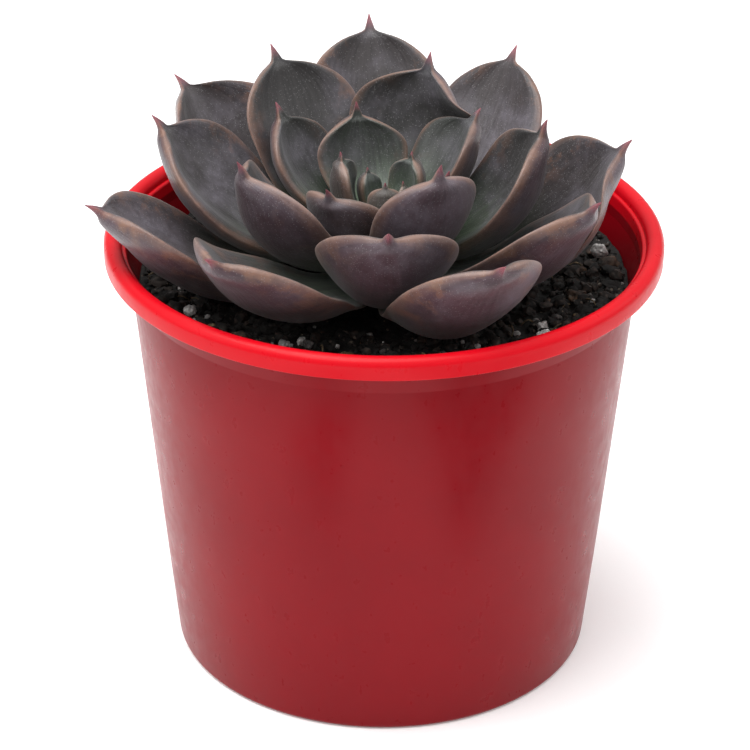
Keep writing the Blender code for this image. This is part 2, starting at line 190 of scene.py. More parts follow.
class Effect:
    """A shared shader effect: one node group with named inputs and outputs."""

    def __init__(self, name: str, inputs: dict[str, float | None], outputs: tuple[str, ...]) -> None:
        """Open an empty group.

        Args:
            name: The group's name.
            inputs: Each input's starting value, or None for a vector input.
            outputs: The names of the outputs, all of them plain values.
        """
        self.tree = bpy.data.node_groups.new(name, "ShaderNodeTree")
        for label, value in inputs.items():
            kind = "NodeSocketVector" if value is None else "NodeSocketFloat"
            socket = self.tree.interface.new_socket(label, in_out="INPUT", socket_type=kind)
            if value is not None:
                socket.default_value = value
        for label in outputs:
            self.tree.interface.new_socket(label, in_out="OUTPUT", socket_type="NodeSocketFloat")
        self.graph = Graph(self.tree)
        self.given = self.graph.add("NodeGroupInput").outputs
        self.result = self.graph.add("NodeGroupOutput").inputs

    def give(self, label: str, value: bpy.types.NodeSocket) -> None:
        """Connect a value to the output of that name."""
        self.graph.feed(self.result[label], value)


class Effects:
    """The effects that several finishes share, each built once."""

    def __init__(self) -> None:
        """Build every shared group."""
        self.specks = self.build_specks()
        self.mottle = self.build_mottle()
        self.grit = self.build_grit()

    @staticmethod
    def build_specks() -> bpy.types.NodeTree:
        """Sparse round specks of uneven size, such as dust or crystals.

        Returns:
            The group: Vector, Scale, Share and Size in, Mask out.
        """
        effect = Effect("sparse_specks", {"Vector": None, "Scale": 800.0, "Share": 0.1, "Size": 0.35}, ("Mask",))
        graph, given = effect.graph, effect.given
        cells = graph.cells(given["Vector"], given["Scale"])
        chance = graph.add("ShaderNodeSeparateColor")
        graph.feed(chance.inputs[0], cells.outputs[1])
        chosen = graph.calc("LESS_THAN", chance.outputs[0], given["Share"])
        reach = graph.calc("MULTIPLY", given["Size"], chance.outputs[1])
        inside = graph.calc("SUBTRACT", reach, cells.outputs[0])
        dot = graph.ramp(inside, 0.0, 0.08)
        effect.give("Mask", graph.calc("MULTIPLY", chosen, dot))
        return effect.tree

    @staticmethod
    def build_mottle() -> bpy.types.NodeTree:
        """Soft uneven patches with a finer mottle inside them.

        Returns:
            The group: Vector, Scale, Low and High in, Mask and Fine out.
        """
        effect = Effect("uneven_mottle", {"Vector": None, "Scale": 60.0, "Low": 0.4, "High": 0.65}, ("Mask", "Fine"))
        graph, given = effect.graph, effect.given
        broad = graph.noise(given["Vector"], given["Scale"], 5.0, 0.6)
        node = graph.add("ShaderNodeMapRange", interpolation_type="SMOOTHSTEP")
        for socket, item in zip(node.inputs, (broad, given["Low"], given["High"])):
            graph.feed(socket, item)
        fine = graph.noise(given["Vector"], graph.calc("MULTIPLY", given["Scale"], 11.0), 3.0, 0.6)
        effect.give("Mask", node.outputs[0])
        effect.give("Fine", fine)
        return effect.tree

    @staticmethod
    def build_grit() -> bpy.types.NodeTree:
        """Crumbly relief: cells broken up by noise.

        Returns:
            The group: Vector and Scale in, Height and Tone out.
        """
        effect = Effect("crumbly_grit", {"Vector": None, "Scale": 900.0}, ("Height", "Tone"))
        graph, given = effect.graph, effect.given
        cells = graph.cells(given["Vector"], given["Scale"])
        crumbs = graph.noise(given["Vector"], graph.calc("MULTIPLY", given["Scale"], 0.45), 6.0, 0.7)
        height = graph.calc("ADD", graph.calc("MULTIPLY", cells.outputs[0], -0.6), crumbs)
        tone = graph.add("ShaderNodeSeparateColor")
        graph.feed(tone.inputs[0], cells.outputs[1])
        effect.give("Height", height)
        effect.give("Tone", tone.outputs[0])
        return effect.tree


@dataclass(frozen=True)
class Finish:
    """A finish: a name, a specular level and how it becomes a material."""

    name: str
    specular: float = 0.5

    def start(self) -> tuple[bpy.types.Material, Graph, bpy.types.Node]:
        """Make an empty material of this finish.

        Returns:
            The material, its graph and its Principled shader.
        """
        material = bpy.data.materials.new(self.name)
        material.use_nodes = True
        shader = material.node_tree.nodes["Principled BSDF"]
        shader.inputs["Specular IOR Level"].default_value = self.specular
        return material, Graph(material.node_tree), shader


@dataclass(frozen=True)
class GlossPlastic(Finish):
    """Glossy moulded plastic with painted light: the rim is painted brighter as if lit from above and through its thin
    plastic, and the wall below is painted darker as shade where soil stands behind it.
    """

    # The wall's colours are painted dark as shade from the soil behind the wall. The rim's colour, used above its
    # height, is painted bright as light from above.
    colour: Colour = (0.2, 0.0006, 0.0045)
    faded: Colour = (0.27, 0.001, 0.006)
    lit_rim: Colour = (0.56, 0.002, 0.009)
    lit_rim_above: float = 93.0 * MM
    dust: Colour = (0.45, 0.3, 0.22)
    roughness: float = 0.3
    coat: float = 0.0

    def material(self, effects: Effects) -> bpy.types.Material:
        """Build the material.

        Args:
            effects: The shared node groups.

        Returns:
            The finished material.
        """
        material, graph, shader = self.start()
        place = graph.place()
        mottle = graph.group(effects.mottle, Vector=place, Scale=26.0, Low=0.35, High=0.7)
        colour = graph.mix(graph.calc("MULTIPLY", mottle.outputs["Mask"], 0.35), self.colour, self.faded)
        height = graph.add("ShaderNodeSeparateXYZ")
        graph.feed(height.inputs[0], place)
        # Painted light and shade: above this height the rim takes its painted bright colour, and below it the wall
        # keeps its painted dark colour.
        painted_rim_light = graph.ramp(height.outputs["Z"], self.lit_rim_above, self.lit_rim_above + 0.6 * MM)
        colour = graph.mix(painted_rim_light, colour, self.lit_rim)
        flecks = graph.group(effects.specks, Vector=place, Scale=190.0, Share=0.01, Size=0.09)
        colour = graph.mix(graph.calc("MULTIPLY", flecks.outputs["Mask"], 0.5), colour, self.dust)
        # Painted shade: small darker spots stand for the shade inside small dents. The surface's relief has no dents.
        dent_shade_spots = graph.group(effects.specks, Vector=place, Scale=120.0, Share=0.005, Size=0.1)
        colour = graph.mix(graph.calc("MULTIPLY", dent_shade_spots.outputs["Mask"], 0.3), colour, (0.12, 0.001, 0.003))
        graph.feed(shader.inputs["Base Color"], colour)
        scuffs = graph.noise(graph.stretched(place, (1.0, 1.0, 0.06)), 900.0, 2.0)
        rough = graph.ramp(graph.calc("ADD", graph.calc("MULTIPLY", scuffs, 0.4), mottle.outputs["Fine"]),
                           0.4, 1.0, self.roughness - 0.04, self.roughness + 0.08)
        graph.feed(shader.inputs["Roughness"], rough)
        peel = graph.noise(place, 420.0, 2.0)
        relief = graph.calc("ADD", graph.calc("MULTIPLY", peel, 0.25), graph.calc("MULTIPLY", scuffs, 0.05))
        relief = graph.calc("ADD", relief, graph.calc("MULTIPLY", flecks.outputs["Mask"], 0.6))
        graph.feed(shader.inputs["Normal"], graph.bump(relief, 0.05 * MM, 0.5))
        shader.inputs["Coat Weight"].default_value = self.coat
        shader.inputs["Coat Roughness"].default_value = 0.16
        return material


@dataclass(frozen=True)
class LeafSkin(Finish):
    """Waxy succulent skin: bloom, greener base, coppery margin and a pink tip."""

    outer: Colour = (0.046, 0.037, 0.039)
    inner: Colour = (0.04, 0.046, 0.043)
    under: Colour = (0.052, 0.028, 0.035)
    green: Colour = (0.1, 0.15, 0.085)
    bloom: Colour = (0.215, 0.195, 0.235)
    margin: Colour = (0.24, 0.13, 0.09)
    edge: Colour = (0.34, 0.22, 0.18)
    blotch: Colour = (0.17, 0.085, 0.055)
    tip: Colour = (0.3, 0.075, 0.1)
    crystal: Colour = (0.3, 0.29, 0.3)

    def material(self, effects: Effects) -> bpy.types.Material:
        """Build the material; it reads along, across, face, age and tint from the mesh.

        Args:
            effects: The shared node groups.

        Returns:
            The finished material.
        """
        material, graph, shader = self.start()
        place = graph.place()
        along = graph.attribute("along")
        side = graph.calc("ABSOLUTE", graph.attribute("across"))
        face = graph.attribute("face")
        age = graph.attribute("age")
        tint = graph.attribute("tint")
        grain = graph.vector(graph.calc("MULTIPLY", graph.attribute("across"), 11.0),
                             graph.calc("MULTIPLY", along, 3.2), graph.calc("MULTIPLY", tint, 17.0))
        streaks = graph.noise(grain, 1.6, 4.0, 0.55)
        mottle = graph.group(effects.mottle, Vector=place, Scale=62.0, Low=0.42, High=0.68)

        upper = graph.mix(age, self.outer, self.inner)
        colour = graph.mix(graph.ramp(face, -0.25, 0.3), self.under, upper)
        base_green = graph.calc("ADD", graph.ramp(along, 0.1, 0.62, 0.95, 0.0),
                                graph.calc("MULTIPLY", graph.ramp(age, 0.55, 1.0), 0.3), clamp=True)
        colour = graph.mix(graph.calc("MULTIPLY", base_green, graph.ramp(streaks, 0.25, 0.7, 0.55, 1.0)),
                           colour, self.green)
        value = graph.calc("ADD", graph.ramp(streaks, 0.25, 0.75, 0.78, 1.2),
                           graph.ramp(tint, 0.0, 1.0, -0.08, 0.1))
        colour = graph.mix(1.0, colour, graph.vector(value, value, value), "MULTIPLY")
        powder = graph.calc("MULTIPLY", mottle.outputs["Mask"], graph.ramp(face, -0.4, 0.6, 0.8, 1.0))
        powder = graph.calc("MULTIPLY", powder, graph.ramp(mottle.outputs["Fine"], 0.3, 0.7, 0.5, 1.0))
        colour = graph.mix(graph.calc("MULTIPLY", powder, 0.42), colour, self.bloom)

        broken = graph.noise(place, 170.0, 6.0, 0.7)
        near_edge = graph.ramp(side, 0.45, 0.92)
        rust = graph.calc("MULTIPLY", graph.ramp(broken, 0.48, 0.62), near_edge)
        rust = graph.calc("MULTIPLY", rust, graph.ramp(age, 0.0, 0.7, 0.75, 0.15))
        colour = graph.mix(rust, colour, self.blotch)
        worn = graph.ramp(broken, 0.3, 0.6, 0.45, 1.0)
        tan = graph.calc("MULTIPLY", graph.ramp(side, 0.84, 0.985), graph.calc("MULTIPLY", worn, 0.5))
        tan = graph.calc("MULTIPLY", tan, graph.ramp(along, 0.1, 0.45))
        colour = graph.mix(tan, colour, self.margin)
        rim = graph.calc("MULTIPLY", graph.ramp(side, 0.975, 1.0), graph.calc("MULTIPLY", worn, 0.35))
        colour = graph.mix(graph.calc("MULTIPLY", rim, graph.ramp(along, 0.2, 0.6)), colour, self.edge)
        blush = graph.ramp(along, 0.925, 1.0)
        colour = graph.mix(graph.calc("MULTIPLY", blush, 0.88), colour, self.tip)
        crystals = graph.group(effects.specks, Vector=place, Scale=3600.0, Share=0.42, Size=0.5)
        colour = graph.mix(graph.calc("MULTIPLY", crystals.outputs["Mask"], 0.3), colour, self.crystal)
        graph.feed(shader.inputs["Base Color"], colour)

        rough = graph.calc("ADD", graph.ramp(powder, 0.0, 1.0, 0.34, 0.54),
                           graph.calc("MULTIPLY", crystals.outputs["Mask"], 0.15))
        graph.feed(shader.inputs["Roughness"], rough)
        pores = graph.calc("ADD", graph.calc("MULTIPLY", graph.noise(place, 1900.0, 2.0), 0.5),
                           graph.calc("MULTIPLY", crystals.outputs["Mask"], 0.5))
        swell = graph.calc("ADD", graph.calc("MULTIPLY", streaks, 0.6), broken)
        soft = graph.bump(swell, 0.28 * MM, 0.6)
        graph.feed(shader.inputs["Normal"], graph.bump(pores, 0.07 * MM, 0.7, soft))
        shader.inputs["Sheen Weight"].default_value = 0.12
        shader.inputs["Sheen Roughness"].default_value = 0.45
        return material


@dataclass(frozen=True)
class Mineral(Finish):
    """A crumbly solid of two tones, such as peat, perlite or bark, painted darker as shade in the low parts of its
    relief.
    """

    dark: Colour = (0.006, 0.005, 0.004)
    light: Colour = (0.045, 0.03, 0.022)
    dust: Colour = (0.16, 0.13, 0.1)
    dusting: float = 0.1
    scale: float = 900.0
    relief: float = 0.4 * MM
    roughness: float = 0.85

    def material(self, effects: Effects) -> bpy.types.Material:
        """Build the material; it reads the tint of each grain from the mesh.

        Args:
            effects: The shared node groups.

        Returns:
            The finished material.
        """
        material, graph, shader = self.start()
        place = graph.place()
        grit = graph.group(effects.grit, Vector=place, Scale=self.scale)
        # Painted shade: the colour follows the relief's height, so the cracks between crumbs are painted darker.
        tone = graph.calc("MULTIPLY", grit.outputs["Height"], graph.ramp(grit.outputs["Tone"], 0.0, 1.0, 0.5, 1.3))
        tone = graph.calc("ADD", tone, graph.ramp(graph.attribute("tint"), 0.0, 1.0, -0.25, 0.3))
        colour = graph.mix(graph.ramp(tone, 0.15, 0.75), self.dark, self.light)
        dust = graph.group(effects.specks, Vector=place, Scale=self.scale * 1.3, Share=self.dusting, Size=0.5)
        colour = graph.mix(graph.calc("MULTIPLY", dust.outputs["Mask"], 0.7), colour, self.dust)
        graph.feed(shader.inputs["Base Color"], colour)
        graph.feed(shader.inputs["Roughness"], graph.ramp(tone, 0.0, 1.0, self.roughness, self.roughness - 0.2))
        graph.feed(shader.inputs["Normal"], graph.bump(grit.outputs["Height"], self.relief, 0.8))
        return material


# ---------------------------------------------------------------- mesh helpers


def mesh_piece(name: str, mesh: bpy.types.Mesh, material: bpy.types.Material,
               replaced: tuple[str, ...] = ()) -> bpy.types.Object:
    """Put a mesh into the scene as a finished piece that rides on the one body.

    Args:
        name: The piece's name.
        mesh: Its mesh, in the frame's metres.
        material: Its finish.
        replaced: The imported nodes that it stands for.

    Returns:
        The new object.
    """
    piece = bpy.data.objects.new(name, mesh)
    bpy.context.scene.collection.objects.link(piece)
    if not mesh.materials:
        mesh.materials.append(material)
    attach(piece, "root")
    if replaced:
        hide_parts(*replaced)
    LOG.info("built %s with %d faces", name, len(mesh.polygons))
    return piece


def keep_numbers(mesh: bpy.types.Mesh, **numbers: list[float]) -> None:
    """Keep one number for each point of the mesh under each name."""
    for name, values in numbers.items():
        layer = mesh.attributes.new(name, "FLOAT", "POINT")
        layer.data.foreach_set("value", np.array(values, np.float32))


def closed_mesh(name: str, points: list[Vector], faces: list[tuple[int, ...]]) -> bpy.types.Mesh:
    """A smooth mesh whose faces point outwards, in the same point order.

    Args:
        name: The mesh's name.
        points: Its points.
        faces: Its faces, as point numbers.

    Returns:
        The mesh.
    """
    mesh = bpy.data.meshes.new(name)
    mesh.from_pydata([tuple(p) for p in points], [], faces)
    work = bmesh.new()
    work.from_mesh(mesh)
    bmesh.ops.recalc_face_normals(work, faces=work.faces[:])
    if work.calc_volume(signed=True) < 0.0:
        bmesh.ops.reverse_faces(work, faces=work.faces[:])
    work.to_mesh(mesh)
    work.free()
    mesh.shade_smooth()
    return mesh


def arc(centre: tuple[float, float], radius: float, start: float, stop: float, steps: int) -> list[tuple[float, float]]:
    """Points of a round stretch of a profile.

    Args:
        centre: Its centre as radius and height.
        radius: Its radius.
        start: The first direction in degrees, 0 outwards and 90 up.
        stop: The last direction.
        steps: How many straight pieces it has.

    Returns:
        The points, first and last included.
    """
    turns = [math.radians(start + (stop - start) * i / steps) for i in range(steps + 1)]
    return [(centre[0] + radius * math.cos(a), centre[1] + radius * math.sin(a)) for a in turns]


# ---------------------------------------------------------------- pot


@dataclass(frozen=True)
class Pot:
    """The tapered pot: a turned shell with a folded rim and drain holes."""

    height: float = 98.0 * MM
    rim_radius: float = 60.0 * MM
    rim_depth: float = 4.6 * MM
    inner_rim_radius: float = 56.1 * MM
    wall_top_radius: float = 54.9 * MM
    base_radius: float = 46.0 * MM
    wall: float = 1.3 * MM
    floor: float = 1.8 * MM
    base_edge: float = 1.4 * MM
    drain_holes: int = 8
    drain_radius: float = 4.0 * MM
    drain_circle: float = 31.0 * MM
    mould_line_height: float = 87.6 * MM
    mould_line_depth: float = 0.07 * MM
    steps: int = 192

    def wall_radius(self, z: float) -> float:
        """Outside radius of the wall at height z."""
        share = z / (self.height - self.rim_depth)
        return self.base_radius + (self.wall_top_radius - self.base_radius) * share

    def profile(self) -> list[tuple[float, float]]:
        """Half section from the floor's centre over the rim to the base's centre.

        Returns:
            Points of radius and height.
        """
        top = self.height
        skirt = top - self.rim_depth
        inner_top = self.inner_rim_radius
        corner = 1.2 * MM
        points = [(0.0, self.floor), (12.0 * MM, self.floor)]
        points += arc((self.wall_radius(self.floor) - self.wall - corner, self.floor + corner), corner, -90, -8, 5)
        points += [(self.wall_radius(z) - self.wall, z) for z in (20 * MM, 50 * MM, 80 * MM, 88 * MM)]
        crown = (self.rim_radius - inner_top) / 2
        points += [(inner_top - 0.9 * MM, top - 6.0 * MM), (inner_top - 0.25 * MM, top - 3.6 * MM)]
        points += arc((inner_top + crown, top - crown), crown, 176, 4, 22)
        lip = 0.28 * MM
        points += arc((self.rim_radius - 0.06 * MM - lip, skirt + lip), lip, 0, -90, 4)
        points += [(self.rim_radius - self.wall, skirt), (self.rim_radius - self.wall - 0.1 * MM, top - 2.6 * MM)]
        fillet = 0.6 * MM
        outer_top = self.wall_radius(skirt)
        points += arc((outer_top + fillet + 0.3 * MM, top - 2.1 * MM - fillet), fillet, 90, 178, 4)
        line = self.mould_line_height
        depth = self.mould_line_depth
        for rise, step in ((0.5, 0.0), (0.16, 1.0), (-0.16, 1.0), (-0.5, 0.0)):
            z = line + rise * MM
            points.append((self.wall_radius(z) - depth * step, z))
        points += [(self.wall_radius(z), z) for z in (70 * MM, 45 * MM, 20 * MM)]
        edge = self.base_edge
        points += arc((self.base_radius - edge, edge), edge, -4, -90, 6)
        ring = 38.0 * MM
        points += [(ring + 1.2 * MM, 0.0), (ring + 0.6 * MM, 0.35 * MM), (ring - 0.6 * MM, 0.35 * MM), (ring - 1.2 * MM, 0.0)]
        points += [(6.0 * MM, 0.0), (5.4 * MM, 0.4 * MM), (0.0, 0.4 * MM)]
        return points

    def build(self, material: bpy.types.Material) -> bpy.types.Object:
        """Turn the profile and cut the drain holes.

        Args:
            material: The plastic.

        Returns:
            The finished pot.
        """
        points = self.profile()
        mesh = bpy.data.meshes.new("pot_section")
        mesh.from_pydata([(r, 0.0, z) for r, z in points], [(i, i + 1) for i in range(len(points) - 1)], [])
        turned = bpy.data.objects.new("pot_section", mesh)
        bpy.context.scene.collection.objects.link(turned)
        screw = turned.modifiers.new("turn", "SCREW")
        screw.steps = self.steps
        screw.render_steps = self.steps
        screw.use_merge_vertices = True
        screw.merge_threshold = 0.00002
        cutters = self.drain_cutters()
        cut = turned.modifiers.new("drains", "BOOLEAN")
        cut.operation = "DIFFERENCE"
        cut.object = cutters
        bpy.context.view_layer.update()
        shape = turned.evaluated_get(bpy.context.evaluated_depsgraph_get())
        finished = bpy.data.meshes.new_from_object(shape)
        finished.name = "pot_shell"
        bpy.data.objects.remove(turned)
        bpy.data.objects.remove(cutters)
        finished.shade_smooth()
        finished.set_sharp_from_angle(angle=math.radians(38))
        return mesh_piece("pot_shell", finished, material, ("pot",))

    def drain_cutters(self) -> bpy.types.Object:
        """One object with a plug for each drain hole."""
        work = bmesh.new()
        for k in range(self.drain_holes):
            angle = math.tau * (k + 0.5) / self.drain_holes
            made = bmesh.ops.create_cone(work, cap_ends=True, segments=40, radius1=self.drain_radius,
                                         radius2=self.drain_radius, depth=4 * self.floor)
            shift = (self.drain_circle * math.cos(angle), self.drain_circle * math.sin(angle), self.floor / 2)
            bmesh.ops.translate(work, verts=made["verts"], vec=shift)
        mesh = bpy.data.meshes.new("drain_plugs")
        work.to_mesh(mesh)
        work.free()
        plugs = bpy.data.objects.new("drain_plugs", mesh)
        bpy.context.scene.collection.objects.link(plugs)
        return plugs


# ---------------------------------------------------------------- rosette


@dataclass(frozen=True)
class Habit:
    """How one leaf departs from the growth rule: degrees and millimetres."""

    turn: float = 0.0
    longer: float = 0.0
    wider: float = 0.0
    base_lift: float = 0.0
    tip_lift: float = 0.0
    roll: float = 0.0
    cup: float = 0.38


HABITS = {
    0: Habit(turn=4, longer=1, wider=-1, tip_lift=-6, roll=0, cup=0.36),
    1: Habit(turn=3, wider=-1.7, tip_lift=7, roll=-9, cup=0.14),
    2: Habit(turn=14, longer=1, wider=-1, base_lift=-3, cup=0.28),
    3: Habit(turn=2, longer=-1, wider=0.6, base_lift=3, tip_lift=-4, cup=0.48),
    4: Habit(turn=-6, longer=-3, wider=0.7, base_lift=-3, tip_lift=6, roll=7, cup=0.4),
    5: Habit(turn=7, longer=1, base_lift=-5, tip_lift=-13, roll=-4, cup=0.3),
    6: Habit(turn=5, longer=2, wider=-1, base_lift=5, roll=3),
    7: Habit(turn=15, base_lift=-8, tip_lift=-4),
    8: Habit(turn=-1, longer=1, base_lift=-7, roll=-8, cup=0.33),
    10: Habit(turn=12, longer=2, base_lift=-9, tip_lift=-6, cup=0.4),
    11: Habit(turn=7, longer=1, wider=0.5, base_lift=5, cup=0.34),
    12: Habit(turn=10, longer=-1, base_lift=-5, tip_lift=13, roll=9, cup=0.42),
    13: Habit(turn=6, wider=1.3, base_lift=-10, tip_lift=5, roll=-4, cup=0.5),
    14: Habit(wider=2.6, base_lift=6, tip_lift=13, roll=-18, cup=0.46),
    15: Habit(turn=3, base_lift=-1, tip_lift=9, roll=6, cup=0.3),
    16: Habit(turn=-9, longer=-1, wider=-1.6, base_lift=-5, tip_lift=-3, roll=4, cup=0.32),
    17: Habit(turn=14, longer=-3, base_lift=18, tip_lift=-16, roll=-11, cup=0.45),
    18: Habit(turn=2, longer=-1, wider=-0.9, base_lift=-4, tip_lift=-10, cup=0.45),
    19: Habit(turn=8, longer=1, wider=0.4, base_lift=-3, tip_lift=9, roll=-6, cup=0.45),
    20: Habit(turn=-6, longer=1, wider=-0.7, base_lift=-3, roll=-7, cup=0.3),
    21: Habit(turn=-14, longer=-3, wider=-2.5, base_lift=20, tip_lift=6),
    22: Habit(turn=-8, longer=-2, wider=-2.2, base_lift=24, tip_lift=4),
    23: Habit(longer=-1, wider=-2.4, base_lift=26),
    24: Habit(longer=1, wider=-2.4, base_lift=28),
    25: Habit(longer=3, wider=-2.4, base_lift=32),
    26: Habit(longer=5, wider=-2.4, base_lift=36, tip_lift=-8),
}


@dataclass
class Column:
    """A leaf seen at one place: where it stands, its up, and the heights of its two faces."""

    foot: Vector
    up: Vector
    top: float
    bottom: float
    across: float


@dataclass(frozen=True)
class Growth:
    """The growth rule of the rosette; k runs from 0 at the lowest leaf to 1 near the heart."""

    golden_angle: float = 137.508
    first_direction: float = 194.0
    innermost: int = 26
    trend_span: float = 22.0
    widest_at: float = 0.71
    base_width: float = 0.16
    end_bluntness: float = 0.54
    spike: float = 4.2 * MM
    spike_half_width: float = 3.6 * MM
    spike_droop: float = 25.0
    margin: float = 1.3 * MM
    puff: float = 0.55 * MM
    full_size: float = 40.0 * MM
    stations: int = 40
    across: int = 21


@dataclass
class Leaf:
    """One leaf's sizes and the points of its skin."""

    number: int
    rule: Growth

    def __post_init__(self) -> None:
        """Work out the leaf's sizes from the growth rule and its habit."""
        k = self.number / self.rule.trend_span
        habit = HABITS[self.number]
        turned = self.rule.first_direction - self.rule.golden_angle * self.number + habit.turn
        self.direction = math.radians(turned)
        self.base_radius = (5.6 - 3.6 * k) * MM
        self.base_height = (89.4 + 8.7 * k) * MM
        self.base_lift = math.radians(-8.0 + 24.0 * k + habit.base_lift)
        self.tip_lift = math.radians(59.0 + 39.0 * k + habit.tip_lift)
        self.length = (65.5 - 10.0 * k - 36.0 * k * k + habit.longer) * MM
        self.half_width = (16.0 + 0.5 * k - 9.7 * k * k + habit.wider) * MM
        self.cup = habit.cup
        self.roll = math.radians(habit.roll)
        self.keel = (4.3 - 2.5 * k) * MM
        self.size = min(1.0, self.length / self.rule.full_size)
        self.blade_end = 1.0 - self.rule.spike / self.length * self.size

    def width_at(self, u: float) -> float:
        """Half width at u, 0 at the stem and 1 at the tip."""
        rule = self.rule
        v = min(u / self.blade_end, 1.0)
        if v < rule.widest_at:
            rise = math.sin(math.pi / 2 * v / rule.widest_at) ** 0.95
            share = rule.base_width + (1.0 - rule.base_width) * rise
        else:
            s = (v - rule.widest_at) / (1.0 - rule.widest_at)
            share = max(1.0 - s * s, 0.0) ** rule.end_bluntness
        q = min((1.0 - u) / (1.1 - self.blade_end), 1.0)
        spike = rule.spike_half_width * self.size * q ** 1.2 + 0.1 * MM
        return math.hypot(self.half_width * share, spike)

    def keel_at(self, u: float) -> float:
        """Depth of the keel below the blade at u."""
        swell = 0.4 + 0.6 * math.sin(math.pi * min(u / 0.8, 1.0)) ** 0.7
        taper = min((1.0 - u) / 0.3, 1.0) ** 0.7
        neck = min(0.25 + u / 0.16, 1.0)
        return self.keel * swell * taper * neck

    def lift_at(self, u: float) -> float:
        """Angle of the midrib above the horizontal at u."""
        droop = math.radians(self.rule.spike_droop) * min(max((u - 0.93) / 0.05, 0.0), 1.0)
        return self.base_lift + (self.tip_lift - self.base_lift) * u - droop

    def places(self) -> list[float]:
        """Places along the leaf, closer together towards the tip."""
        count = self.rule.stations
        blade = [self.blade_end * (i / (count - 1)) ** 0.8 for i in range(count)]
        return blade + [1.0 - (1.0 - self.blade_end) * share for share in (0.84, 0.66, 0.48, 0.3, 0.14, 0.0)]

    def columns(self) -> list[list[Column]]:
        """Grow the leaf along its midrib.

        Returns:
            A row of columns for each place along the leaf.
        """
        point = Vector((self.base_radius * math.cos(self.direction),
                        self.base_radius * math.sin(self.direction), self.base_height))
        outward = Vector((math.cos(self.direction), math.sin(self.direction), 0.0))
        sideways = Vector((-math.sin(self.direction), math.cos(self.direction), 0.0))
        rows = []
        step = 1.0 / 120
        u = 0.0
        for target in self.places():
            while u < target - 1e-9:
                advance = min(step, target - u)
                lift = self.lift_at(u + advance / 2)
                heading = outward * math.cos(lift) + Vector((0, 0, math.sin(lift)))
                point = point + heading * (self.length * advance)
                u += advance
            lift = self.lift_at(u)
            normal = outward * -math.sin(lift) + Vector((0, 0, math.cos(lift)))
            side = sideways * math.cos(self.roll) + normal * math.sin(self.roll)
            up = normal * math.cos(self.roll) - sideways * math.sin(self.roll)
            rows.append([self.column(point, side, up, u, j) for j in range(self.rule.across)])
        return rows

    def column(self, point: Vector, side: Vector, up: Vector, u: float, j: int) -> Column:
        """The j-th column across the blade at u."""
        t = math.sin(math.pi * (j / (self.rule.across - 1) - 0.5))
        width = self.width_at(u)
        foot = point + side * (width * t)
        ripple = noise.noise(foot * 70.0 + Vector((self.number, 0, 0))) * 0.5 * MM * min(width / (6 * MM), 1.0)
        curl = (self.cup + 0.1 * (u - 0.5)) * width * t * t + ripple
        puff = self.rule.puff * math.exp(-((abs(t) - 0.74) / 0.17) ** 2) * min(width / (12 * MM), 1.0)
        edge = max(1.0 - t ** 6, 0.0) ** 0.5
        margin = min(self.rule.margin * min(0.6 + u / 0.2, 1.0), 0.5 * width)
        keel = self.keel_at(u) * (1.0 - abs(t) ** 1.8)
        return Column(foot, up, curl + margin * edge + puff, curl - (margin + keel) * edge, t)


